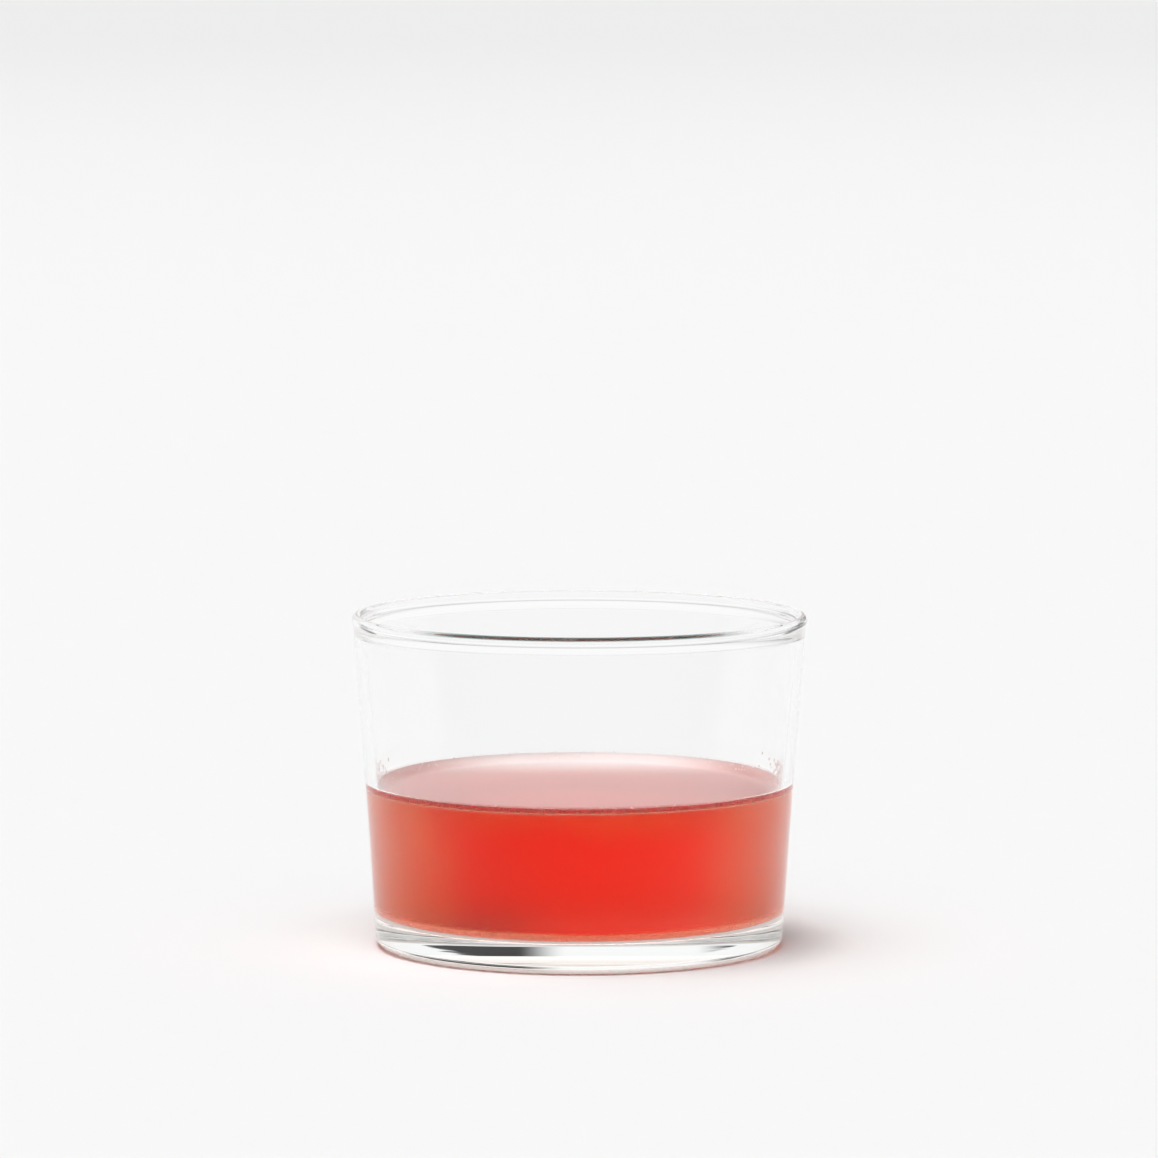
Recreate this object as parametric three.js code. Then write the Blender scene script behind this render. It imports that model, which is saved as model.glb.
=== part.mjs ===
// A low, wide drinking glass with a drink in it: a pressed tumbler with a beaded rim, a flared wall,
// a heavy clear base and a hollowed underside, and the pool of liquid that fills its lower half.
// Millimetres, +Z up. The origin is on the table, in the middle of the base.

import * as THREE from "three";

// Driving dimensions of the tumbler
const HEIGHT = 60.8; // table to the top of the rim
const RIM_DIAMETER = 83.0; // over the bead
const BASE_DIAMETER = 74.3; // where the line of the outer wall would meet the table
const WALL_BOW = 0.15; // how far the wall hangs inside a straight cone halfway up
const BEAD_WIDTH = 1.9; // of the fire-polished rim, across the wall
const BEAD_HEIGHT = 2.2;
const WALL_AT_RIM = 1.4; // thickness just under the bead
const WALL_AT_FLOOR = 2.3; // thickness at the height of the inside floor
const FLOOR_THICKNESS = 5.3; // table to the edge of the inside floor
const FLOOR_DISH = 0.5; // how far the middle of the inside floor lies below its edge
const FLOOR_CORNER_RADIUS = 3.2; // inside, between wall and floor
const HEEL_RADIUS = 1.9; // outside, between wall and base
const CONTACT_RING_WIDTH = 2.4; // the flat ring that the glass stands on
const UNDERSIDE_HOLLOW = 1.1; // rise of the underside inside that ring

// Driving dimensions of the drink
const DRINK_LEVEL = 28.6; // table to the flat middle of the surface
const MENISCUS_RISE = 1.7; // climb of the surface up the wall
const MENISCUS_REACH = 3.6; // how far in from the wall that climb begins
const DRINK_CLEARANCE = 0.3; // between the drink and the glass

// Smoothness
const ROUND_STEPS = 72; // around the axis
const CURVE_STEPS = 4; // along each curve of a section; an arc has twice as many

// Where the bead meets the two faces of the wall
const bead = {
  middle: new THREE.Vector2((RIM_DIAMETER - BEAD_WIDTH) / 2, HEIGHT - BEAD_HEIGHT / 2),
  across: BEAD_WIDTH / 2,
  up: BEAD_HEIGHT / 2,
  neckAngle: Math.acos(WALL_AT_RIM / BEAD_WIDTH),
};
const neckHeight = bead.middle.y - bead.up * Math.sin(bead.neckAngle);

// The two faces of the wall. Each is a parabola from its foot to the neck under the bead, and hangs
// inside the straight line between them by the bow.
const outerWall = {
  foot: new THREE.Vector2(BASE_DIAMETER / 2, 0),
  top: new THREE.Vector2(bead.middle.x + WALL_AT_RIM / 2, neckHeight),
  bow: WALL_BOW,
};
const innerWall = {
  foot: new THREE.Vector2(wallRadius(outerWall, FLOOR_THICKNESS) - WALL_AT_FLOOR, FLOOR_THICKNESS),
  top: new THREE.Vector2(bead.middle.x - WALL_AT_RIM / 2, neckHeight),
  bow: WALL_BOW,
};

// Radius of a wall at a height
function wallRadius(wall, height) {
  const share = (height - wall.foot.y) / (wall.top.y - wall.foot.y);
  const straight = THREE.MathUtils.lerp(wall.foot.x, wall.top.x, share);
  return straight - 4 * wall.bow * share * (1 - share);
}

// Slope of a wall at a height: how much its radius grows for each millimetre of height
function wallSlope(wall, height) {
  const rise = wall.top.y - wall.foot.y;
  const share = (height - wall.foot.y) / rise;
  return (wall.top.x - wall.foot.x - 4 * wall.bow * (1 - 2 * share)) / rise;
}

// A wall moved towards the axis
function wallInside(wall, distance) {
  const shift = new THREE.Vector2(-distance, 0);
  return { foot: wall.foot.clone().add(shift), top: wall.top.clone().add(shift), bow: wall.bow };
}

// The round corner that touches a wall and the flat below it: its centre, the angle of the wall
// where they touch, and the height of that point. The point moves a little with the angle there,
// and settles in a few rounds.
function cornerOf(wall, flatHeight, radius) {
  const middle = flatHeight + radius;
  let touch = middle;
  let angle = 0;
  for (let round = 0; round < 8; round += 1) {
    angle = Math.atan(wallSlope(wall, touch));
    touch = middle - radius * Math.sin(angle);
  }
  const centre = new THREE.Vector2(wallRadius(wall, touch) - radius * Math.cos(angle), middle);
  return { centre, radius, angle, touch };
}

// Draws a corner from the flat up to the wall
function drawCornerUp(path, corner) {
  const { centre, radius, angle } = corner;
  path.absarc(centre.x, centre.y, radius, -Math.PI / 2, -angle, false);
}

// Draws a corner from the wall down to the flat
function drawCornerDown(path, corner) {
  const { centre, radius, angle } = corner;
  path.absarc(centre.x, centre.y, radius, -angle, -Math.PI / 2, true);
}

// Draws a wall between two heights. The control point of a parabola lies halfway up the stretch, on
// the tangent from its start.
function drawWall(path, wall, from, to) {
  const half = (to - from) / 2;
  const controlRadius = wallRadius(wall, from) + half * wallSlope(wall, from);
  path.quadraticCurveTo(controlRadius, from + half, wallRadius(wall, to), to);
}

// Draws the bead from the outer face of the wall over the top to the inner face, in two arcs
function drawBead(path) {
  const { middle, across, up, neckAngle } = bead;
  path.absellipse(middle.x, middle.y, across, up, -neckAngle, Math.PI / 2, false);
  path.absellipse(middle.x, middle.y, across, up, Math.PI / 2, Math.PI + neckAngle, false);
}

// Section of the tumbler, from the middle of its underside round the outside to the inside floor
function tumblerSection() {
  const heel = cornerOf(outerWall, 0, HEEL_RADIUS);
  const floorCorner = cornerOf(innerWall, FLOOR_THICKNESS, FLOOR_CORNER_RADIUS);
  const ringInside = heel.centre.x - CONTACT_RING_WIDTH;
  const floorMiddle = FLOOR_THICKNESS - FLOOR_DISH;
  const section = new THREE.Path();
  section.moveTo(0, UNDERSIDE_HOLLOW);
  section.quadraticCurveTo(ringInside / 2, UNDERSIDE_HOLLOW, ringInside, 0);
  section.lineTo(heel.centre.x, 0);
  drawCornerUp(section, heel);
  drawWall(section, outerWall, heel.touch, neckHeight);
  drawBead(section);
  drawWall(section, innerWall, neckHeight, floorCorner.touch);
  drawCornerDown(section, floorCorner);
  section.quadraticCurveTo(floorCorner.centre.x / 2, floorMiddle, 0, floorMiddle);
  return section;
}

// Section of the drink, from the middle of its underside up the wall and back over its surface
function drinkSection() {
  const fillWall = wallInside(innerWall, DRINK_CLEARANCE);
  const floorEdge = FLOOR_THICKNESS + DRINK_CLEARANCE;
  const floorMiddle = floorEdge - FLOOR_DISH;
  const corner = cornerOf(fillWall, floorEdge, FLOOR_CORNER_RADIUS - DRINK_CLEARANCE);
  const edgeHeight = DRINK_LEVEL + MENISCUS_RISE;
  const edgeRadius = wallRadius(fillWall, edgeHeight);
  const section = new THREE.Path();
  section.moveTo(0, floorMiddle);
  section.quadraticCurveTo(corner.centre.x / 2, floorMiddle, corner.centre.x, floorEdge);
  drawCornerUp(section, corner);
  drawWall(section, fillWall, corner.touch, edgeHeight);
  section.quadraticCurveTo(edgeRadius, DRINK_LEVEL, edgeRadius - MENISCUS_REACH, DRINK_LEVEL);
  section.lineTo(0, DRINK_LEVEL);
  return section;
}

// A section in the plane of radius and height, turned about the axis into a closed solid
function turned(section) {
  const geometry = new THREE.LatheGeometry(section.getPoints(CURVE_STEPS), ROUND_STEPS);
  return geometry.rotateX(Math.PI / 2);
}

// The tumbler, in clear soda-lime glass
function tumbler() {
  const glass = new THREE.MeshStandardMaterial({
    color: 0xf4f6f5,
    roughness: 0.03,
    metalness: 0,
    transparent: true,
    opacity: 0.3,
  });
  const mesh = new THREE.Mesh(turned(tumblerSection()), glass);
  mesh.name = "tumbler";
  return mesh;
}

// The drink, a clear red liquid
function drink() {
  const liquid = new THREE.MeshStandardMaterial({
    color: 0xe8352b,
    roughness: 0.05,
    metalness: 0,
    transparent: true,
    opacity: 0.85,
  });
  const mesh = new THREE.Mesh(turned(drinkSection()), liquid);
  mesh.name = "drink";
  return mesh;
}

const drinkingGlass = new THREE.Group();
drinkingGlass.add(tumbler(), drink());

export default drinkingGlass;
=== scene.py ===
"""A low, wide drinking glass half filled with a red drink, on a pale table in soft studio light."""

import logging
import math
import random
from dataclasses import dataclass, field
from enum import Enum

import bmesh
import bpy
from mathutils import Matrix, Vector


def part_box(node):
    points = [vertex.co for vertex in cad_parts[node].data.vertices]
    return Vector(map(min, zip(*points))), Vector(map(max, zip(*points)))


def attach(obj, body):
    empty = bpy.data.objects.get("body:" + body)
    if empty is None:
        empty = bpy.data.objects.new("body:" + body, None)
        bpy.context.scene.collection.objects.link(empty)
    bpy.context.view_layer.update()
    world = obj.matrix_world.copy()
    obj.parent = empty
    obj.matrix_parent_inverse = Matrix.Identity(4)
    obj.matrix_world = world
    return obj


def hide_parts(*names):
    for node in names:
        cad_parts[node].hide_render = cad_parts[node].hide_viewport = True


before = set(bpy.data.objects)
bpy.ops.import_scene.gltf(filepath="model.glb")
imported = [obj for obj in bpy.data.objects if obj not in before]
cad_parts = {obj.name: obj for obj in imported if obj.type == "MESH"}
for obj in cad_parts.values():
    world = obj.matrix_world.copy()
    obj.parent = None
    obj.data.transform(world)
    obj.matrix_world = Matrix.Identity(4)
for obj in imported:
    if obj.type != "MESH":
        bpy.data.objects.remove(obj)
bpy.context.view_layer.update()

LOG = logging.getLogger("drinking_glass")
BODY = "root"
MM = 0.001
SHARP_ANGLE = math.radians(50)
MERGE_DISTANCE = 1e-7
WALL_FACING = (0.2, 0.5)
ONE_BOUNCE = 0.5
CURVE_STEPS = 24
HEEL_STEPS = 14
BEAD_STEPS = 40
CORNER_STEPS = 16
FLOOR_STEPS = 20
TOP_STEPS = 8
ROUND_STEPS = 256

Colour = tuple[float, float, float, float]
Span = tuple[float, float]
Point = tuple[float, float]
Socket = bpy.types.NodeSocket
WHITE: Colour = (1.0, 1.0, 1.0, 1.0)
BLACK: Colour = (0.0, 0.0, 0.0, 1.0)


class Slot(Enum):
    """The record's material slots."""

    GLASS = "clear_glass"
    DRINK = "red_drink"


@dataclass(frozen=True)
class WallFace:
    """One face of the glass wall: a parabola in the plane of radius and height.

    Attributes:
        foot: Radius and height of its lower end.
        top: Radius and height of its upper end.
        bow: How far it hangs inside the straight line between them, halfway up.
    """

    foot: Point
    top: Point
    bow: float

    def share(self, height: float) -> float:
        """Finds how far up the face a height is.

        Args:
            height: The height.

        Returns:
            0 at the foot and 1 at the top.
        """
        return (height - self.foot[1]) / (self.top[1] - self.foot[1])

    def radius(self, height: float) -> float:
        """Finds the face's radius at a height.

        Args:
            height: The height.

        Returns:
            The radius.
        """
        share = self.share(height)
        straight = self.foot[0] + share * (self.top[0] - self.foot[0])
        return straight - 4 * self.bow * share * (1 - share)

    def slope(self, height: float) -> float:
        """Finds how much the radius grows for each metre of height.

        Args:
            height: Where on the face.

        Returns:
            The growth.
        """
        growth = self.top[0] - self.foot[0] - 4 * self.bow * (1 - 2 * self.share(height))
        return growth / (self.top[1] - self.foot[1])

    def moved(self, distance: float) -> "WallFace":
        """Moves the face away from the axis.

        Args:
            distance: How far.

        Returns:
            The moved face.
        """
        foot = (self.foot[0] + distance, self.foot[1])
        top = (self.top[0] + distance, self.top[1])
        return WallFace(foot, top, self.bow)


@dataclass(frozen=True)
class Corner:
    """The round corner between a wall face and the flat below it.

    Attributes:
        centre: Radius and height of the corner's centre.
        radius: The corner's own radius.
        angle: Lean of the wall where they touch.
        touch: Height where they touch.
    """

    centre: Point
    radius: float
    angle: float
    touch: float

    @classmethod
    def between(cls, wall: WallFace, flat: float, radius: float, rounds: int = 8) -> "Corner":
        """Finds the corner of a radius that touches a wall and a flat.

        Args:
            wall: The wall face.
            flat: Height of the flat.
            radius: The corner's radius.
            rounds: How often the touching height is worked out afresh.

        Returns:
            The corner.
        """
        middle = flat + radius
        touch = middle
        angle = 0.0
        for _ in range(rounds):
            angle = math.atan(wall.slope(touch))
            touch = middle - radius * math.sin(angle)
        return cls((wall.radius(touch) - radius * math.cos(angle), middle), radius, angle, touch)


@dataclass
class Section:
    """A section in the plane of radius and height, drawn point by point and turned about the axis.

    Attributes:
        points: Its points so far, as radius and height.
    """

    points: list[Point] = field(default_factory=list)

    def to(self, radius: float, height: float) -> None:
        """Adds a straight stretch to a point.

        Args:
            radius: The point's radius.
            height: The point's height.
        """
        self.points.append((radius, height))

    def arc(self, centre: Point, radii: Span, angles: Span, steps: int) -> None:
        """Adds an arc of an ellipse, from the end of the stretch before it.

        Args:
            centre: Radius and height of its centre.
            radii: Its half width and half height.
            angles: Where it starts and ends, counted from straight out.
            steps: How many points to add.
        """
        start, end = angles
        for step in range(1, steps + 1):
            angle = start + (end - start) * step / steps
            self.to(centre[0] + radii[0] * math.cos(angle), centre[1] + radii[1] * math.sin(angle))

    def wall(self, face: WallFace, heights: Span, steps: int) -> None:
        """Adds a stretch of a wall face.

        Args:
            face: The wall face.
            heights: Where the stretch starts and ends.
            steps: How many points to add.
        """
        start, end = heights
        for step in range(1, steps + 1):
            height = start + (end - start) * step / steps
            self.to(face.radius(height), height)

    def curve(self, control: Point, end: Point, steps: int) -> None:
        """Adds a parabola that leaves the last point towards a control point.

        Args:
            control: The control point.
            end: Where the parabola ends.
            steps: How many points to add.
        """
        start = self.points[-1]
        for step in range(1, steps + 1):
            t = step / steps
            weights = ((1 - t) ** 2, 2 * t * (1 - t), t**2)
            trio = (start, control, end)
            radius = sum(w * p[0] for w, p in zip(weights, trio))
            height = sum(w * p[1] for w, p in zip(weights, trio))
            self.to(radius, height)

    def turned(self, name: str) -> bpy.types.Object:
        """Turns the section about the axis into a closed, smooth object.

        Args:
            name: The new object's name.

        Returns:
            The object, in the scene.
        """
        bm = bmesh.new()
        verts = [bm.verts.new((radius, 0.0, height)) for radius, height in self.points]
        edges = [bm.edges.new(pair) for pair in zip(verts, verts[1:])]
        bmesh.ops.spin(
            bm,
            geom=[*verts, *edges],
            cent=(0, 0, 0),
            axis=(0, 0, 1),
            angle=math.tau,
            steps=ROUND_STEPS,
            use_merge=True,
        )
        return finished(bm, name)


def finished(bm: bmesh.types.BMesh, name: str) -> bpy.types.Object:
    """Closes a bmesh, turns its faces outwards and makes it a smooth object in the scene.

    Args:
        bm: The bmesh, which is freed.
        name: The new object's name.

    Returns:
        The object.
    """
    bmesh.ops.remove_doubles(bm, verts=bm.verts[:], dist=MERGE_DISTANCE)
    bmesh.ops.recalc_face_normals(bm, faces=bm.faces[:])
    for face in bm.faces:
        face.smooth = True
    for edge in bm.edges:
        edge.smooth = not edge.is_manifold or edge.calc_face_angle() < SHARP_ANGLE
    mesh = bpy.data.meshes.new(name)
    bm.to_mesh(mesh)
    bm.free()
    piece = bpy.data.objects.new(name, mesh)
    bpy.context.scene.collection.objects.link(piece)
    return piece


class Nodes:
    """A short way to place and join the nodes of a material or world."""

    def __init__(self, owner: bpy.types.Material | bpy.types.World) -> None:
        """Empties the owner's node tree and starts on it.

        Args:
            owner: The material or world.
        """
        owner.use_nodes = True
        self.tree = owner.node_tree
        self.tree.nodes.clear()

    def add(self, kind: str, **values: object) -> bpy.types.Node:
        """Adds a node.

        Args:
            kind: The node's type name.
            values: Sockets, by name with _ for a space or by i and number, or the node's own properties.

        Returns:
            The node.
        """
        node = self.tree.nodes.new(kind)
        for key, value in values.items():
            if hasattr(node, key):
                setattr(node, key, value)
                continue
            socket = node.inputs[int(key[1:]) if key[1:].isdigit() else key.replace("_", " ")]
            if isinstance(value, Socket):
                self.tree.links.new(value, socket)
            else:
                socket.default_value = value
        return node

    def math(self, operation: str, first: object, second: object = 0.0) -> Socket:
        """Works out a Math node.

        Args:
            operation: What it does.
            first: A number or a socket.
            second: A number or a socket.

        Returns:
            The result.
        """
        return self.add("ShaderNodeMath", operation=operation, i0=first, i1=second).outputs[0]

    def ramp(self, value: Socket, start: float, end: float) -> Socket:
        """Makes a smooth step of a value.

        Args:
            value: The value.
            start: Where the step is 0.
            end: Where the step is 1.

        Returns:
            The step.
        """
        step = self.add("ShaderNodeMapRange", interpolation_type="SMOOTHSTEP", Value=value)
        step.inputs["From Min"].default_value = start
        step.inputs["From Max"].default_value = end
        return step.outputs["Result"]

    def mix(self, share: Socket, first: object, second: object) -> Socket:
        """Mixes two colours.

        Args:
            share: 0 for the first colour, 1 for the second.
            first: A colour or a socket.
            second: A colour or a socket.

        Returns:
            The mixed colour.
        """
        return self.add("ShaderNodeMix", data_type="RGBA", i0=share, i6=first, i7=second).outputs[2]

    def between(self, share: Socket, first: float, second: float) -> Socket:
        """Finds a number between two plain numbers.

        Args:
            share: 0 for the first number, 1 for the second.
            first: The first number.
            second: The second number.

        Returns:
            The number between them.
        """
        step = self.add("ShaderNodeMapRange", Value=share)
        step.inputs["To Min"].default_value = first
        step.inputs["To Max"].default_value = second
        return step.outputs["Result"]

    def blend(self, share: Socket, first: object, second: object) -> Socket:
        """Finds a number between two numbers or sockets.

        Args:
            share: 0 for the first, 1 for the second.
            first: A number or a socket.
            second: A number or a socket.

        Returns:
            The number between them.
        """
        return self.add("ShaderNodeMix", data_type="FLOAT", i0=share, i2=first, i3=second).outputs[0]

    def noise(self, place: Socket, scale: float, detail: float) -> Socket:
        """Makes a cloudy noise.

        Args:
            place: Where it is read.
            scale: How fine it is.
            detail: How many finer layers it has.

        Returns:
            The noise, from 0 to 1.
        """
        return self.add("ShaderNodeTexNoise", Vector=place, Scale=scale, Detail=detail).outputs["Fac"]

    def seen_in_glass(self) -> Socket:
        """Picks out the rays by which the camera sees through the glass or sees something mirrored in it.

        Returns:
            1 for those rays, and 0 for others.
        """
        path = self.add("ShaderNodeLightPath").outputs
        through = self.math("MAXIMUM", path["Is Glossy Ray"], path["Is Transmission Ray"])
        return self.math("MULTIPLY", through, self.math("LESS_THAN", path["Diffuse Depth"], ONE_BOUNCE))

    def turned_back(self) -> Socket:
        """Picks out the rays that the glass has mirrored at least once.

        Returns:
            1 for those rays, and 0 for rays that only pass through it.
        """
        depth = self.add("ShaderNodeLightPath").outputs["Glossy Depth"]
        return self.math("GREATER_THAN", depth, ONE_BOUNCE)

    def outward(self) -> Socket:
        """Measures how far a face that is seen looks away from the axis.

        Returns:
            1 for straight out, 0 for up or down and -1 for straight in.
        """
        spot = self.add("ShaderNodeTexCoord").outputs
        level = self.add("ShaderNodeVectorMath", operation="MULTIPLY", i0=spot["Object"], i1=(1.0, 1.0, 0.0))
        away = self.add("ShaderNodeVectorMath", operation="NORMALIZE", i0=level.outputs[0]).outputs[0]
        facing = self.add("ShaderNodeVectorMath", operation="DOT_PRODUCT", i0=away, i1=spot["Normal"])
        return facing.outputs["Value"]

    def on_wall(self) -> Socket:
        """Finds the wall of a piece, from outside it or from within.

        Returns:
            1 where the piece faces away from the axis, and 0 where it faces up, down or inwards.
        """
        behind = self.add("ShaderNodeNewGeometry").outputs["Backfacing"]
        side = self.math("SUBTRACT", 1.0, self.math("MULTIPLY", behind, 2.0))
        return self.ramp(self.math("MULTIPLY", self.outward(), side), *WALL_FACING)


@dataclass(frozen=True)
class ClearGlass:
    """Finish of the tumbler: clear soda-lime glass, with a painted dark line along the front of the rim.

    Attributes:
        ior: Its refractive index.
        glare: How much of the studio it mirrors.
        rim_shade_height: Heights where the rim's painted shade starts and is full.
        rim_shade_colour: Colour of a painted shade on the rim's front, a dark line that stands in for the
            dark room the rim mirrors.
        rim_shade_front: Depths where that painted shade starts and is full.
        tint: Colour that a thick piece of the glass has.
        tint_density: How strong that colour is.
    """

    ior: float = 1.52
    glare: Colour = (0.2, 0.2, 0.2, 1.0)
    rim_shade_height: Span = (60.0 * MM, 60.25 * MM)
    rim_shade_colour: Colour = (0.06, 0.14, 0.135, 1.0)
    rim_shade_front: Span = (-26 * MM, -36 * MM)
    tint: Colour = (0.86, 0.95, 0.91, 1.0)
    tint_density: float = 3.0

    def material(self) -> bpy.types.Material:
        """Makes the finish.

        Returns:
            The material.
        """
        material = bpy.data.materials.new("tumbler_glass")
        nodes = Nodes(material)
        place = nodes.add("ShaderNodeTexCoord").outputs["Object"]
        parts = nodes.add("ShaderNodeSeparateXYZ", Vector=place).outputs
        # Painted shade: a dark tint on the top of the rim, on its front only, stands in for the dark line
        # the rim shows there.
        front = nodes.ramp(parts["Y"], *self.rim_shade_front)
        rim = nodes.math("MULTIPLY", nodes.ramp(parts["Z"], *self.rim_shade_height), front)
        shader = nodes.add(
            "ShaderNodeBsdfPrincipled",
            Base_Color=nodes.mix(rim, WHITE, self.rim_shade_colour),
            Roughness=0.0,
            IOR=self.ior,
            Specular_Tint=self.glare,
            Transmission_Weight=1.0,
        )
        body = nodes.add("ShaderNodeVolumeAbsorption", Color=self.tint, Density=self.tint_density)
        nodes.add("ShaderNodeOutputMaterial", Surface=shader.outputs["BSDF"], Volume=body.outputs["Volume"])
        return material


@dataclass(frozen=True)
class RedDrink:
    """Finish of the drink: a cloudy red liquid that takes its colour from its depth, with a painted glow
    where the glass mirrors it.

    Attributes:
        ior: Its refractive index.
        body: Colour that it lets through.
        density: How strongly it takes out the other colours.
        cloudiness: How far the drink blurs what is seen through its floor, its side and its top.
        floor: Heights where the clear floor ends and the cloudy side starts.
        top: Heights between the floor and the top.
        collar: Heights where the edge along the wall turns as clear as the top.
        mirrored: Colours of a painted reflection: where the inside of the glass mirrors the drink, the drink
            loses its red and glows in these colours instead, low on it, low on it and mirrored often, and
            high on it.
        mirror_height: Heights between which that changes from low to high.
        mirror_often: A ray that was mirrored more times than this was mirrored often.
        mirror_faces: A ray that has passed more faces than this shows no mirrored colour.
        passed: Light that its side and floor let through to the table.
    """

    ior: float = 1.34
    body: Colour = (0.998, 0.22, 0.04, 1.0)
    density: float = 66.0
    cloudiness: tuple[float, float, float] = (0.0, 0.4, 0.22)
    floor: Span = (6.6 * MM, 8.2 * MM)
    top: Span = (15.0 * MM, 20.0 * MM)
    collar: Span = (28.8 * MM, 29.1 * MM)
    mirrored: tuple[Colour, Colour, Colour] = (
        (0.60, 0.54, 0.51, 1.0),
        (0.28, 0.17, 0.15, 1.0),
        (0.88, 0.88, 0.88, 1.0),
    )
    mirror_height: Span = (8.0 * MM, 20.0 * MM)
    mirror_often: float = 2.5
    mirror_faces: float = 3.5
    passed: Colour = (0.70, 0.85, 0.85, 1.0)

    def material(self) -> bpy.types.Material:
        """Makes the finish.

        Returns:
            The material.
        """
        material = bpy.data.materials.new("clear_red_drink")
        nodes = Nodes(material)
        place = nodes.add("ShaderNodeTexCoord").outputs["Object"]
        height = nodes.add("ShaderNodeSeparateXYZ", Vector=place).outputs["Z"]
        at_floor, at_side, at_top = self.cloudiness
        low = nodes.between(nodes.ramp(height, *self.floor), at_floor, at_side)
        flat = nodes.math("SUBTRACT", 1.0, nodes.on_wall())
        above = nodes.math("MULTIPLY", nodes.ramp(height, *self.top), flat)
        above = nodes.math("MAXIMUM", above, nodes.ramp(height, *self.collar))
        blur = nodes.blend(above, low, at_top)
        # Painted reflection: rays that the glass has mirrored see the drink black and glowing grey, darker
        # low down, in place of its red.
        path = nodes.add("ShaderNodeLightPath").outputs
        inside = nodes.math("LESS_THAN", path["Transmission Depth"], self.mirror_faces)
        painted_glow_share = nodes.math("MULTIPLY", nodes.math("GREATER_THAN", path["Glossy Depth"], ONE_BOUNCE), inside)
        painted_glow_share = nodes.math("MULTIPLY", painted_glow_share, nodes.math("LESS_THAN", path["Diffuse Depth"], ONE_BOUNCE))
        seldom, often, high = self.mirrored
        foot = nodes.mix(nodes.math("GREATER_THAN", path["Glossy Depth"], self.mirror_often), seldom, often)
        shade = nodes.mix(nodes.ramp(height, *self.mirror_height), foot, high)
        below = nodes.math("SUBTRACT", 1.0, above)
        to_table = nodes.math("GREATER_THAN", path["Diffuse Depth"], ONE_BOUNCE)
        clear = nodes.mix(nodes.math("MULTIPLY", to_table, below), WHITE, self.passed)
        shader = nodes.add(
            "ShaderNodeBsdfPrincipled",
            Base_Color=nodes.mix(painted_glow_share, clear, BLACK),
            Roughness=blur,
            IOR=self.ior,
            Specular_Tint=BLACK,
            Transmission_Weight=1.0,
            Emission_Color=nodes.mix(painted_glow_share, BLACK, shade),
            Emission_Strength=1.0,
        )
        body = nodes.add("ShaderNodeVolumeAbsorption", Color=self.body, Density=self.density)
        nodes.add("ShaderNodeOutputMaterial", Surface=shader.outputs["BSDF"], Volume=body.outputs["Volume"])
        return material


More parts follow.
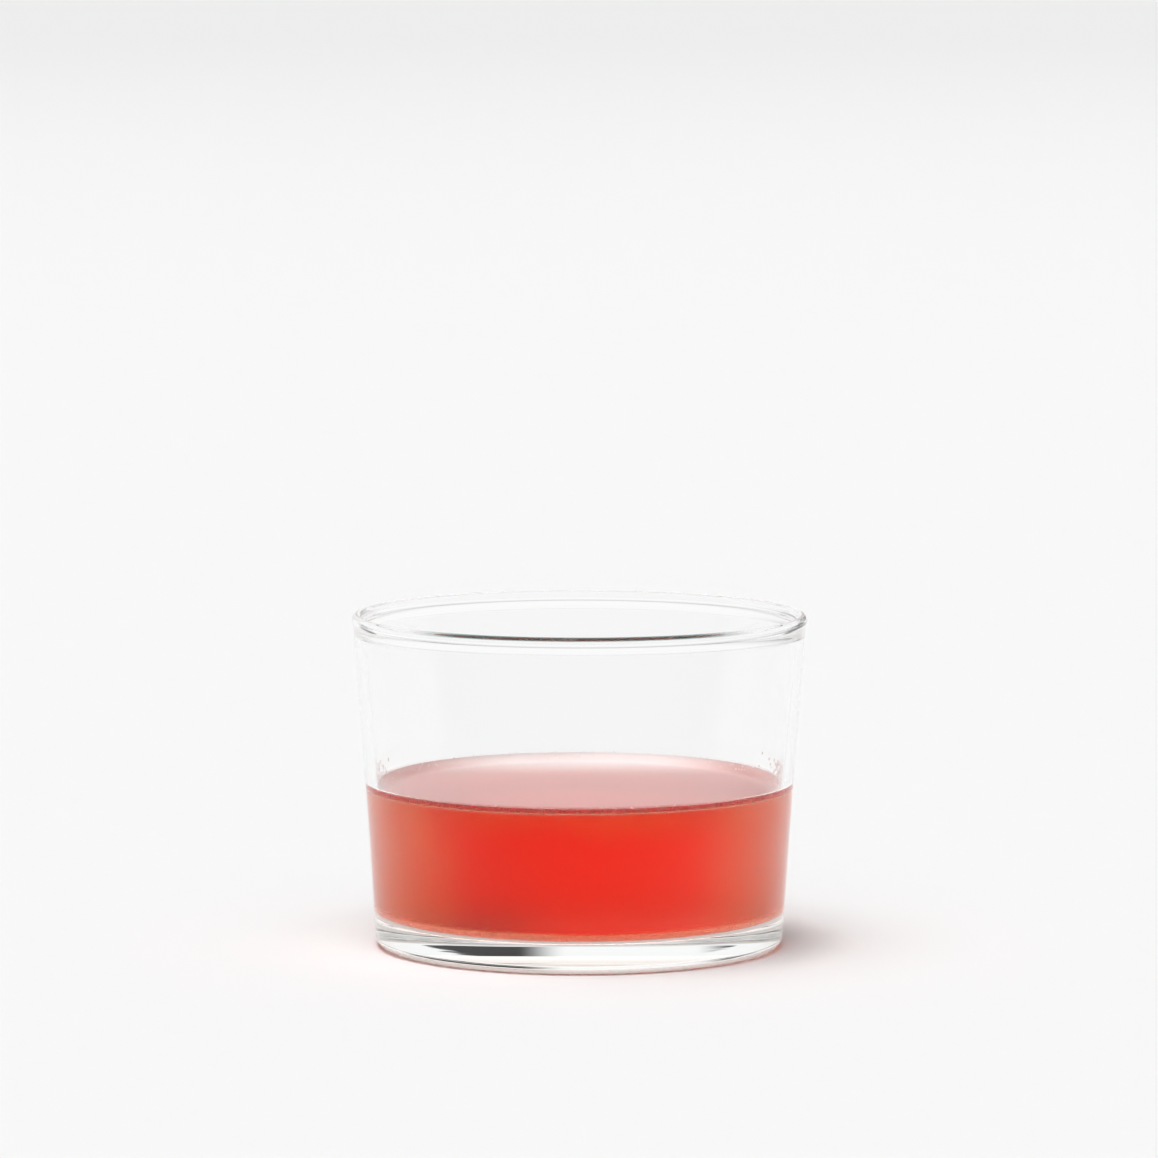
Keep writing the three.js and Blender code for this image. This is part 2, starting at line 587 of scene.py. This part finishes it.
@dataclass(frozen=True)
class PulpAndPaintedLight:
    """Finish of the pulp: a thin cloud at the sides and on top, with a clear window in front and behind,
    which carries painted light as well as the drink's cloudiness.

    Attributes:
        cloud: Colour of the pulp along the wall: the drink's cloudiness together with a painted haze at its
            sides.
        foot_band: Colour of a band along the foot of the wall, made lighter than the cloud: painted light.
        collar: Colour of a painted shade along the edge that climbs the wall, a dark red band where the
            drink's edge shows dark.
        skin: Colours on top of the drink, on its flat middle and on its edge: the pink middle is its
            cloudiness together with a painted reflection, and the pale edge is a painted sheen.
        glow: Strength of a painted glow on the pulp along the wall, which stands in for the light that
            reaches it from around the drink.
        lit: Colours of that painted glow, for the cloud, the band at the foot and the collar.
        roughness: How dull it is.
        cover: How much of what is behind it the cloud hides in the window and at the sides.
        foot_band_cover: The same for that lighter band.
        edge_shade_cover: The same for that painted dark band.
        skin_cover: The same for the pulp on top, on its flat middle and on its edge.
        window: Distances from the middle where the clear window ends and where the cloud is full; the cloud
            beyond it paints the haze at the drink's sides and leaves its heart clear.
        wander: How far the window's edge wanders.
        rise: Heights where the cloud under the top starts and is full.
        rise_share: How full that cloud is beside the one at the sides.
        foot: Heights where the cloud ends and where it is full, just above the floor.
        foot_band_height: Heights where the lighter band at the foot ends and where it is full.
        foot_band_wander: How far that band's edge wanders.
        edge: Heights where that painted dark band starts and is full.
        top: Heights where the floating pulp starts and is full.
        slope: Heights where the top turns from the middle's colour to the painted sheen of the edge.
        edge_sheen_share: How far it turns there.
        sheen_depths: Depths between which the top grows pale towards the back, a painted sheen.
        grain_scale: How fine the grains are.
        drift_scale: How fine the drifts of grains are.
        grain: Noise values between which a grain stands out.
        speckle: How far single grains stand out, from 0 to 1.
    """

    cloud: Colour = (0.92, 0.44, 0.08, 1.0)
    foot_band: Colour = (1.0, 0.62, 0.42, 1.0)
    collar: Colour = (0.62, 0.05, 0.04, 1.0)
    skin: tuple[Colour, Colour] = ((0.90, 0.60, 0.56, 1.0), (0.96, 0.92, 0.91, 1.0))
    glow: float = 0.45
    lit: tuple[Colour, Colour, Colour] = (
        (0.31, 0.15, 0.027, 1.0),
        (1.0, 0.42, 0.22, 1.0),
        (0.21, 0.017, 0.013, 1.0),
    )
    roughness: float = 0.7
    cover: Span = (0.0, 0.28)
    foot_band_cover: float = 0.36
    edge_shade_cover: float = 0.55
    skin_cover: Span = (0.45, 0.85)
    window: Span = (17 * MM, 38 * MM)
    wander: float = 9 * MM
    rise: Span = (23 * MM, 29 * MM)
    rise_share: float = 0.3
    foot: Span = (6.0 * MM, 7.0 * MM)
    foot_band_height: Span = (7.6 * MM, 6.9 * MM)
    foot_band_wander: float = 0.5 * MM
    edge: Span = (28.9 * MM, 29.3 * MM)
    top: Span = (20.0 * MM, 25.0 * MM)
    slope: Span = (28.5 * MM, 29.9 * MM)
    edge_sheen_share: float = 0.3
    sheen_depths: Span = (14.0 * MM, 35.0 * MM)
    grain_scale: float = 2600.0
    drift_scale: float = 70.0
    grain: Span = (0.3, 0.7)
    speckle: float = 0.2

    def material(self) -> bpy.types.Material:
        """Makes the finish.

        Returns:
            The material.
        """
        material = bpy.data.materials.new("pulp_and_painted_light")
        nodes = Nodes(material)
        place = nodes.add("ShaderNodeTexCoord").outputs["Object"]
        parts = nodes.add("ShaderNodeSeparateXYZ", Vector=place).outputs
        height = parts["Z"]
        grain = nodes.noise(place, self.grain_scale, 2.0)
        drift = nodes.noise(place, self.drift_scale, 3.0)
        swing = nodes.math("SUBTRACT", nodes.math("ADD", grain, drift), 1.0)
        shift = nodes.math("MULTIPLY", swing, self.wander)
        # Painted haze: the cloud covers the drink's sides beyond a clear window in front and behind, and
        # less of the part under the top.
        aside = nodes.math("ADD", nodes.math("ABSOLUTE", parts["X"]), shift)
        sides = nodes.ramp(aside, *self.window)
        under_top = nodes.ramp(nodes.math("ADD", height, shift), *self.rise)
        under_top = nodes.math("MULTIPLY", under_top, self.rise_share)
        wall = nodes.between(nodes.math("MAXIMUM", sides, under_top), *self.cover)
        wall = nodes.math("MULTIPLY", wall, nodes.ramp(height, *self.foot))
        # Painted light: a lighter band along the foot of the wall, which also glows brighter than the cloud.
        ragged = nodes.math("ADD", height, nodes.math("MULTIPLY", swing, self.foot_band_wander))
        in_foot_band = nodes.ramp(ragged, *self.foot_band_height)
        wall = nodes.blend(in_foot_band, wall, self.foot_band_cover)
        # Painted shade: a dark red band along the edge that climbs the wall.
        edge_shade = nodes.ramp(height, *self.edge)
        wall = nodes.blend(edge_shade, wall, self.edge_shade_cover)
        # Painted sheen: the top grows pale and less clear towards its back and up its climbing edge.
        back_sheen = nodes.ramp(parts["Y"], *self.sheen_depths)
        edge_sheen = nodes.math("MULTIPLY", nodes.ramp(height, *self.slope), self.edge_sheen_share)
        sheen_share = nodes.math("MAXIMUM", edge_sheen, back_sheen)
        skin = nodes.between(sheen_share, *self.skin_cover)
        skin = nodes.math("MULTIPLY", skin, nodes.ramp(height, *self.top))
        on_wall = nodes.ramp(nodes.outward(), *WALL_FACING)
        grains = nodes.between(nodes.ramp(grain, *self.grain), 1 - self.speckle, 1 + self.speckle)
        along = nodes.mix(edge_shade, nodes.mix(in_foot_band, self.cloud, self.foot_band), self.collar)
        # Painted light: the pulp along the wall glows, in place of the light it would catch from around the
        # drink.
        cloud_glow, foot_band_glow, collar_glow = self.lit
        painted_glow_colour = nodes.mix(edge_shade, nodes.mix(in_foot_band, cloud_glow, foot_band_glow), collar_glow)
        shader = nodes.add(
            "ShaderNodeBsdfPrincipled",
            Base_Color=nodes.mix(on_wall, nodes.mix(sheen_share, *self.skin), along),
            Roughness=self.roughness,
            Specular_IOR_Level=0.0,
            Emission_Color=nodes.mix(on_wall, BLACK, painted_glow_colour),
            Emission_Strength=self.glow,
            Alpha=nodes.blend(on_wall, skin, nodes.math("MULTIPLY", wall, grains)),
        )
        nodes.add("ShaderNodeOutputMaterial", Surface=shader.outputs["BSDF"])
        return material


@dataclass(frozen=True)
class ClearBead:
    """Finish of the beads: a drop of thinned drink, nearly as clear as water.

    Attributes:
        ior: Its refractive index.
        colour: Colour that it lets through.
        roughness: How far it blurs what is behind it.
    """

    ior: float = 1.33
    colour: Colour = (1.0, 0.90, 0.88, 1.0)
    roughness: float = 0.02

    def material(self) -> bpy.types.Material:
        """Makes the finish.

        Returns:
            The material.
        """
        material = bpy.data.materials.new("clear_bead")
        nodes = Nodes(material)
        shader = nodes.add(
            "ShaderNodeBsdfPrincipled",
            Base_Color=self.colour,
            Roughness=self.roughness,
            IOR=self.ior,
            Transmission_Weight=1.0,
        )
        nodes.add("ShaderNodeOutputMaterial", Surface=shader.outputs["BSDF"])
        return material


@dataclass(frozen=True)
class PaleFroth:
    """Finish of the froth: pale, moist grains.

    Attributes:
        colour: Its colour.
        roughness: How dull it is.
    """

    colour: Colour = (0.95, 0.80, 0.76, 1.0)
    roughness: float = 0.4

    def material(self) -> bpy.types.Material:
        """Makes the finish.

        Returns:
            The material.
        """
        material = bpy.data.materials.new("pale_froth")
        nodes = Nodes(material)
        shader = nodes.add("ShaderNodeBsdfPrincipled", Base_Color=self.colour, Roughness=self.roughness)
        nodes.add("ShaderNodeOutputMaterial", Surface=shader.outputs["BSDF"])
        return material


@dataclass
class Tumbler:
    """The glass itself: a pressed tumbler with a beaded rim, a flared wall and a heavy base.

    Attributes:
        base_radius: Radius of the wall's outer face, carried down to the table.
        wall_bow: How far the wall bows in, halfway up.
        bead_width: Width of the rim's bead.
        bead_height: Height of the rim's bead.
        wall_at_rim: The wall's thickness under the bead.
        wall_at_floor: The wall's thickness at the floor.
        floor_thickness: The floor's thickness at its edge.
        floor_dish: How much lower the floor's middle is.
        floor_corner: Radius of the corner between floor and wall.
        heel_radius: Radius of the heel.
        ring_width: Width of the ring that it stands on.
        underside_hollow: How far the underside is hollowed.
        finish: What it is made of.
    """

    base_radius: float = 37.15 * MM
    wall_bow: float = 0.15 * MM
    bead_width: float = 1.9 * MM
    bead_height: float = 2.2 * MM
    wall_at_rim: float = 1.4 * MM
    wall_at_floor: float = 2.3 * MM
    floor_thickness: float = 5.3 * MM
    floor_dish: float = 0.5 * MM
    floor_corner: float = 3.2 * MM
    heel_radius: float = 1.9 * MM
    ring_width: float = 2.4 * MM
    underside_hollow: float = 1.1 * MM
    finish: ClearGlass = field(default_factory=ClearGlass)

    def __post_init__(self) -> None:
        """Reads the height and the rim from the frame, and works out the two faces of the wall."""
        low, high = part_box("tumbler")
        self.height: float = high[2] - low[2]
        self.rim_radius: float = (high[1] - low[1]) / 2
        self.bead_middle: Point = (self.rim_radius - self.bead_width / 2, self.height - self.bead_height / 2)
        self.neck_angle: float = math.acos(self.wall_at_rim / self.bead_width)
        self.neck: float = self.bead_middle[1] - self.bead_height / 2 * math.sin(self.neck_angle)
        outer_top = (self.bead_middle[0] + self.wall_at_rim / 2, self.neck)
        inner_top = (self.bead_middle[0] - self.wall_at_rim / 2, self.neck)
        self.outer = WallFace((self.base_radius, 0.0), outer_top, self.wall_bow)
        foot = self.outer.radius(self.floor_thickness) - self.wall_at_floor
        self.inner = WallFace((foot, self.floor_thickness), inner_top, self.wall_bow)

    def build(self) -> bpy.types.Object:
        """Turns the tumbler's section.

        Returns:
            The tumbler as one closed piece.
        """
        heel = Corner.between(self.outer, 0.0, self.heel_radius)
        corner = Corner.between(self.inner, self.floor_thickness, self.floor_corner)
        ring_inside = heel.centre[0] - self.ring_width
        floor_middle = self.floor_thickness - self.floor_dish
        bead = (self.bead_width / 2, self.bead_height / 2)
        bead_ends = (-self.neck_angle, math.pi + self.neck_angle)
        heel_ends = (-math.pi / 2, -heel.angle)
        corner_ends = (-corner.angle, -math.pi / 2)
        section = Section([(0.0, self.underside_hollow)])
        section.curve((ring_inside / 2, self.underside_hollow), (ring_inside, 0.0), CURVE_STEPS)
        section.to(heel.centre[0], 0.0)
        section.arc(heel.centre, (heel.radius, heel.radius), heel_ends, HEEL_STEPS)
        section.wall(self.outer, (heel.touch, self.neck), CURVE_STEPS)
        section.arc(self.bead_middle, bead, bead_ends, BEAD_STEPS)
        section.wall(self.inner, (self.neck, corner.touch), CURVE_STEPS)
        section.arc(corner.centre, (corner.radius, corner.radius), corner_ends, CORNER_STEPS)
        section.curve((corner.centre[0] / 2, floor_middle), (0.0, floor_middle), FLOOR_STEPS)
        return section.turned("glass_tumbler")

    def dress(self, piece: bpy.types.Object) -> None:
        """Gives the piece its finish and its place in the frame.

        Args:
            piece: The tumbler.
        """
        piece.data.materials.append(self.finish.material())
        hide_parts("tumbler")
        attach(piece, BODY)


@dataclass
class Drink:
    """The pool of drink in the tumbler, which wets the glass and climbs it at the edge.

    Attributes:
        tumbler: The tumbler that holds it.
        meniscus_rise: How far its edge climbs the wall.
        meniscus_reach: How wide the climbing edge is.
        meniscus_lean: How far that edge's top leans in from the wall.
        wetting: How far it dips into the face of the glass.
        finish: What it is made of.
    """

    tumbler: Tumbler
    meniscus_rise: float = 1.7 * MM
    meniscus_reach: float = 3.6 * MM
    meniscus_lean: float = 0.7 * MM
    wetting: float = 0.06 * MM
    finish: RedDrink = field(default_factory=RedDrink)

    def __post_init__(self) -> None:
        """Reads the drink's level from the frame."""
        self.edge_height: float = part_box("drink")[1][2]
        self.level: float = self.edge_height - self.meniscus_rise

    def outline(self, grow: float, level: float, rise: float) -> Section:
        """Draws the section of the pool, or of a pool a little smaller or larger.

        Args:
            grow: How far it reaches beyond the inner face and floor of the glass.
            level: Height of its flat top.
            rise: How far its edge climbs the wall.

        Returns:
            The section.
        """
        tumbler = self.tumbler
        face = tumbler.inner.moved(grow)
        floor_edge = tumbler.floor_thickness - grow
        floor_middle = floor_edge - tumbler.floor_dish
        corner = Corner.between(face, floor_edge, tumbler.floor_corner + grow)
        corner_ends = (-math.pi / 2, -corner.angle)
        edge = face.radius(level + rise)
        flat = edge - self.meniscus_reach
        section = Section([(0.0, floor_middle)])
        section.curve((corner.centre[0] / 2, floor_middle), (corner.centre[0], floor_edge), FLOOR_STEPS)
        section.arc(corner.centre, (corner.radius, corner.radius), corner_ends, CORNER_STEPS)
        section.wall(face, (corner.touch, level + rise), CURVE_STEPS)
        section.curve((edge - self.meniscus_lean, level), (flat, level), CURVE_STEPS)
        for step in range(1, TOP_STEPS + 1):
            section.to(flat * (1 - step / TOP_STEPS), level)
        return section

    def build(self) -> bpy.types.Object:
        """Turns the drink's section.

        Returns:
            The drink as one closed piece that dips just into the face of the glass.
        """
        section = self.outline(self.wetting, self.level, self.meniscus_rise)
        return section.turned("red_drink")

    def dress(self, piece: bpy.types.Object) -> None:
        """Gives the piece its finish and its place in the frame.

        Args:
            piece: The drink.
        """
        piece.data.materials.append(self.finish.material())
        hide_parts("drink")
        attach(piece, BODY)


class DrinkTrace:
    """Something in or on the drink that rides with it and stands for no node of the CAD model."""

    finish: PulpAndPaintedLight | ClearBead | PaleFroth

    def dress(self, piece: bpy.types.Object) -> None:
        """Gives the piece its finish and its place in the frame.

        Args:
            piece: The piece.
        """
        piece.data.materials.append(self.finish.material())
        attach(piece, BODY)


@dataclass
class Pulp(DrinkTrace):
    """The fine pulp in the drink, a cloud just inside its sides and top that also carries painted haze,
    glow, shade and sheen.

    Attributes:
        drink: The drink that it floats in.
        inset: How far it stays inside the glass.
        depth: How far it stays under the drink's level.
        edge_drop: How much less its edge climbs than the drink's.
        finish: What it looks like.
    """

    drink: Drink
    inset: float = 0.05 * MM
    depth: float = 0.1 * MM
    edge_drop: float = 0.25 * MM
    finish: PulpAndPaintedLight = field(default_factory=PulpAndPaintedLight)

    def build(self) -> bpy.types.Object:
        """Turns the cloud's section.

        Returns:
            The cloud as one closed piece inside the drink.
        """
        rise = self.drink.meniscus_rise - self.edge_drop
        section = self.drink.outline(-self.inset, self.drink.level - self.depth, rise)
        return section.turned("drink_pulp_and_painted_light")


@dataclass
class Beads(DrinkTrace):
    """Tiny drops on the inner wall just above the drink, on its left and right.

    Attributes:
        tumbler: The tumbler whose wall they are on.
        drink: The drink that they come from.
        counts: How many there are on each side.
        sides: Where each side is, in degrees.
        spreads: How far they spread there, in degrees.
        sizes: Smallest and largest radius.
        lift: How far above the drink's edge they start.
        climb: How far up the wall they go.
        climb_bias: How much more of them are low.
        flatness: Their depth beside their width.
        seat: How much of that depth stands off the wall.
        tallness: Their height beside their width, least and most.
        facets: Faces of one drop, around it and from top to bottom.
        seed: Start of the random draws.
        finish: What they are made of.
    """

    tumbler: Tumbler
    drink: Drink
    counts: tuple[int, int] = (55, 95)
    sides: tuple[float, float] = (180.0, 0.0)
    spreads: tuple[float, float] = (11.0, 18.0)
    sizes: Span = (0.12 * MM, 0.33 * MM)
    lift: float = 0.1 * MM
    climb: float = 2.6 * MM
    climb_bias: float = 1.6
    flatness: float = 0.6
    seat: float = 0.8
    tallness: Span = (0.8, 1.3)
    facets: tuple[int, int] = (8, 6)
    seed: int = 7
    finish: ClearBead = field(default_factory=ClearBead)

    def build(self) -> bpy.types.Object:
        """Strews the drops along the wall.

        Returns:
            The beads as one piece of small closed drops.
        """
        dice = random.Random(self.seed)
        around, down = self.facets
        lowest = self.drink.edge_height + self.lift
        bm = bmesh.new()
        for count, side, spread in zip(self.counts, self.sides, self.spreads):
            for _ in range(count):
                size = dice.uniform(*self.sizes)
                height = lowest + self.climb * dice.random() ** self.climb_bias
                angle = math.radians(dice.gauss(side, spread / 2))
                away = self.tumbler.inner.radius(height) - self.seat * size * self.flatness
                place = Matrix.Rotation(angle, 4, "Z") @ Matrix.Translation((away, 0.0, height))
                shape = Matrix.Diagonal((self.flatness, 1.0, dice.uniform(*self.tallness), 1.0))
                bmesh.ops.create_uvsphere(
                    bm, u_segments=around, v_segments=down, radius=size, matrix=place @ shape
                )
        return finished(bm, "wall_beads")


@dataclass
class Froth(DrinkTrace):
    """Fine grains of froth along the edge of the drink, where it climbs the wall.

    Attributes:
        drink: The drink that they float on.
        count: How many grains there are.
        sizes: Smallest and largest radius.
        reach: How many points of the climbing edge the froth covers, from the wall down.
        edge_bias: How much more of it is near the wall.
        facets: Faces of one grain, around it and from top to bottom.
        seed: Start of the random draws.
        finish: What it looks like.
    """

    drink: Drink
    count: int = 320
    sizes: Span = (0.05 * MM, 0.13 * MM)
    reach: int = 12
    edge_bias: int = 2
    facets: tuple[int, int] = (6, 4)
    seed: int = 11
    finish: PaleFroth = field(default_factory=PaleFroth)

    def build(self) -> bpy.types.Object:
        """Strews the grains along the drink's edge.

        Returns:
            The froth as one piece of small closed grains.
        """
        dice = random.Random(self.seed)
        drink = self.drink
        around, down = self.facets
        edge = drink.tumbler.inner.radius(drink.edge_height)
        flat = edge - drink.meniscus_reach
        slope = Section([(edge, drink.edge_height)])
        slope.curve((edge - drink.meniscus_lean, drink.level), (flat, drink.level), CURVE_STEPS)
        bm = bmesh.new()
        for _ in range(self.count):
            size = dice.uniform(*self.sizes)
            away, height = slope.points[1 + int(self.reach * dice.random() ** self.edge_bias)]
            turn = Matrix.Rotation(dice.uniform(0.0, math.tau), 4, "Z")
            place = turn @ Matrix.Translation((away - size, 0.0, height))
            bmesh.ops.create_uvsphere(bm, u_segments=around, v_segments=down, radius=size, matrix=place)
        return finished(bm, "edge_froth")


@dataclass(frozen=True)
class Patch:
    """A round, soft patch of light in the sky.

    Attributes:
        strength: How bright its middle is.
        towards: Its angle from straight up, and the side it is on, counted from the right.
        spread: Angles from its middle where it ends and where it is full.
    """

    strength: float
    towards: Span
    spread: Span

    def light(self, nodes: Nodes, way: Socket) -> Socket:
        """Works out its light.

        Args:
            nodes: The world's nodes.
            way: Direction that a ray leaves in.

        Returns:
            Its strength in that direction.
        """
        tilt, side = (math.radians(angle) for angle in self.towards)
        middle = (math.sin(tilt) * math.cos(side), math.sin(tilt) * math.sin(side), math.cos(tilt))
        near = nodes.add("ShaderNodeVectorMath", operation="DOT_PRODUCT", i0=way, i1=middle).outputs["Value"]
        share = nodes.ramp(near, *(math.cos(math.radians(angle)) for angle in self.spread))
        return nodes.math("MULTIPLY", share, self.strength)


@dataclass
class Studio:
    """The table, the light and the camera, none of which belong to the object.

    Attributes:
        table_radius: The table's radius.
        table_sides: Sides of its round edge.
        table_drop: How far it lies under the glass.
        table_near: Its shade near the glass.
        table_far: Its shade far away.
        far_start: Where it starts to turn from one to the other.
        far_end: Where it has turned.
        table_light: How bright it shows in the glass.
        table_shown: How much of that light replaces its own look there.
        shown_from: Distances from the middle where that starts and is full.
        front: Depths where the front of the table, as mirrored in the glass, starts and is darkest.
        front_light: How bright it is there.
        horizon: What the camera sees past the table.
        ambient: Light from all round.
        fill: The fill light.
        key: The key light.
        ceiling: What the glass shows of straight up.
        room: What it shows of the room in front.
        room_top: Heights on the sky where the room ends and the ceiling is full.
        sweep: What it shows of the backdrop, low and high.
        sweep_fade: Heights on the sky between which the backdrop changes.
        sweep_edge: Angles from straight back where the backdrop ends and where it is full.
        gap: What it shows of the dark gaps beside the backdrop.
        gap_left: Angles to the right of straight back where the first gap starts and is full.
        gap_right: The same for the second gap.
        gap_slope: How much lower the gaps get to the sides.
        gap_top: Heights on the sky where the gaps end and where they are full.
        gap_streaks: How far the gaps' upper edge wanders.
        streak_scale: How fine those streaks are.
        streak_stretch: How many times longer than high they are.
        camera_distance: How far in front of the glass the camera is.
        camera_height: How high above the table it is.
        camera_aside: How far to the right it is.
        camera_pitch: How far it looks up, in degrees.
        camera_roll: How far it is turned about its own view, in degrees.
        camera_reach: How far it sees.
        lens: Its focal length in millimetres.
        bounces: How often light may bounce in the glass.
        clear_bounces: How often it may pass a surface that is partly clear.
    """

    table_radius: float = 16.0
    table_sides: int = 96
    table_drop: float = 0.05 * MM
    table_near: float = 0.86
    table_far: float = 0.78
    far_start: float = 1.2
    far_end: float = 9.0
    table_light: float = 1.09
    table_shown: float = 0.75
    shown_from: Span = (40 * MM, 60 * MM)
    front: Span = (-30 * MM, -120 * MM)
    front_light: float = 0.15
    horizon: float = 0.88
    ambient: float = 0.2
    fill: Patch = Patch(2.64, (28.0, -95.0), (36.0, 14.0))
    key: Patch = Patch(5.65, (12.0, 188.0), (20.0, 10.0))
    ceiling: float = 0.85
    room: float = 0.03
    room_top: Span = (0.9, 0.99)
    sweep: Span = (0.97, 0.74)
    sweep_fade: Span = (0.22, 0.40)
    sweep_edge: Span = (105.0, 80.0)
    gap: float = 0.06
    gap_left: Span = (2.0, 12.0)
    gap_right: Span = (-24.0, -38.0)
    gap_slope: float = 0.32
    gap_top: Span = (0.34, 0.31)
    gap_streaks: float = 0.12
    streak_scale: float = 6.0
    streak_stretch: float = 14.0
    camera_distance: float = 1.2
    camera_height: float = 0.18833
    camera_aside: float = -0.0001
    camera_pitch: float = -5.77
    camera_roll: float = 0.05
    camera_reach: float = 100.0
    lens: float = 205.9
    bounces: int = 160
    clear_bounces: int = 16

    def build_table(self) -> bpy.types.Object:
        """Makes the table, a wide pale disc that is a little dimmer far away.

        Returns:
            The table.
        """
        bm = bmesh.new()
        bmesh.ops.create_circle(bm, cap_ends=True, segments=self.table_sides, radius=self.table_radius)
        bmesh.ops.translate(bm, verts=bm.verts[:], vec=(0.0, 0.0, -self.table_drop))
        table = finished(bm, "table")
        material = bpy.data.materials.new("pale_table")
        nodes = Nodes(material)
        place = nodes.add("ShaderNodeTexCoord").outputs["Object"]
        away = nodes.add("ShaderNodeVectorMath", operation="LENGTH", i0=place).outputs["Value"]
        far = nodes.ramp(away, self.far_start, self.far_end)
        shade = nodes.between(far, self.table_near, self.table_far)
        plain = nodes.add("ShaderNodeBsdfDiffuse", Color=shade)
        depth = nodes.add("ShaderNodeSeparateXYZ", Vector=place).outputs["Y"]
        ahead = nodes.math("MULTIPLY", nodes.ramp(depth, *self.front), nodes.turned_back())
        glow = nodes.between(ahead, self.table_light, self.front_light)
        bright = nodes.add("ShaderNodeEmission", Color=shade, Strength=glow)
        clear = nodes.between(nodes.ramp(away, *self.shown_from), 0.0, self.table_shown)
        share = nodes.math("MULTIPLY", nodes.seen_in_glass(), clear)
        shader = nodes.add("ShaderNodeMixShader", i0=share, i1=plain.outputs[0], i2=bright.outputs[0])
        nodes.add("ShaderNodeOutputMaterial", Surface=shader.outputs["Shader"])
        table.data.materials.append(material)
        return table

    def build_light(self) -> None:
        """Makes the sky: a key and a fill light for the table, and the studio that shows in the glass."""
        world = bpy.data.worlds.new("studio")
        bpy.context.scene.world = world
        nodes = Nodes(world)
        way = nodes.add("ShaderNodeTexCoord").outputs["Generated"]
        patches = nodes.math("ADD", self.fill.light(nodes, way), self.key.light(nodes, way))
        lit = nodes.math("ADD", patches, self.ambient)
        shown = self.surroundings(nodes, way)
        seen = nodes.add("ShaderNodeLightPath").outputs["Is Camera Ray"]
        strength = nodes.blend(seen, nodes.blend(nodes.seen_in_glass(), lit, shown), self.horizon)
        light = nodes.add("ShaderNodeBackground", Color=WHITE, Strength=strength)
        nodes.add("ShaderNodeOutputWorld", Surface=light.outputs["Background"])

    def surroundings(self, nodes: Nodes, way: Socket) -> Socket:
        """Makes what shows in the glass: the backdrop, its dark gaps, the room in front and the ceiling.

        Args:
            nodes: The world's nodes.
            way: Direction that a ray leaves in.

        Returns:
            How bright it is in that direction.
        """
        parts = nodes.add("ShaderNodeSeparateXYZ", Vector=way).outputs
        height = parts["Z"]
        flat = nodes.math("SQRT", nodes.math("SUBTRACT", 1.0, nodes.math("POWER", height, 2.0)))
        level = nodes.math("MAXIMUM", flat, 1e-4)
        ahead = nodes.math("DIVIDE", parts["Y"], level)
        right = nodes.math("DIVIDE", parts["X"], level)
        back = nodes.ramp(ahead, *(math.cos(math.radians(angle)) for angle in self.sweep_edge))
        sweep = nodes.between(nodes.ramp(height, *self.sweep_fade), *self.sweep)
        passing = nodes.math("SUBTRACT", 1.0, nodes.turned_back())
        low = nodes.blend(nodes.math("MAXIMUM", back, passing), self.room, sweep)
        past_left = nodes.ramp(right, *(math.sin(math.radians(angle)) for angle in self.gap_left))
        past_right = nodes.ramp(right, *(math.sin(math.radians(angle)) for angle in self.gap_right))
        past = nodes.math("MAXIMUM", past_left, past_right)
        along = (1.0, 1.0, self.streak_stretch)
        stretch = nodes.add("ShaderNodeVectorMath", operation="MULTIPLY", i0=way, i1=along).outputs[0]
        wander = nodes.math("SUBTRACT", nodes.noise(stretch, self.streak_scale, 3.0), 0.5)
        wander = nodes.math("MULTIPLY", wander, self.gap_streaks)
        slope = nodes.math("MULTIPLY", nodes.math("ABSOLUTE", right), self.gap_slope)
        slant = nodes.math("ADD", nodes.math("ADD", height, slope), wander)
        gap = nodes.math("MULTIPLY", nodes.math("MULTIPLY", past, back), nodes.ramp(slant, *self.gap_top))
        low = nodes.blend(gap, low, self.gap)
        return nodes.blend(nodes.ramp(height, *self.room_top), low, self.ceiling)

    def build_camera(self) -> None:
        """Puts the camera where the photograph was taken from."""
        data = bpy.data.cameras.new("camera")
        data.lens = self.lens
        data.clip_end = self.camera_reach
        camera = bpy.data.objects.new("camera", data)
        place = Matrix.Translation((self.camera_aside, -self.camera_distance, self.camera_height))
        pitch = Matrix.Rotation(math.radians(90 + self.camera_pitch), 4, "X")
        roll = Matrix.Rotation(math.radians(self.camera_roll), 4, "Z")
        camera.matrix_world = place @ pitch @ roll
        bpy.context.scene.collection.objects.link(camera)
        bpy.context.scene.camera = camera

    def set_up(self) -> None:
        """Sets how light bounces in the glass and how the picture is shown."""
        scene = bpy.context.scene
        scene.view_settings.view_transform = "Standard"
        scene.cycles.max_bounces = self.bounces
        scene.cycles.glossy_bounces = self.bounces
        scene.cycles.transmission_bounces = self.bounces
        scene.cycles.transparent_max_bounces = self.clear_bounces
        scene.cycles.blur_glossy = 0.0


def main() -> None:
    """Builds the studio and each piece of the object in turn."""
    logging.basicConfig(level=logging.INFO, format="%(message)s")
    studio = Studio()
    studio.set_up()
    studio.build_camera()
    studio.build_table()
    studio.build_light()
    tumbler = Tumbler()
    drink = Drink(tumbler)
    for maker in (tumbler, drink, Pulp(drink), Beads(tumbler, drink), Froth(drink)):
        piece = maker.build()
        maker.dress(piece)
        LOG.info("%s: %d faces", piece.name, len(piece.data.polygons))


if __name__ == "__main__":
    main()
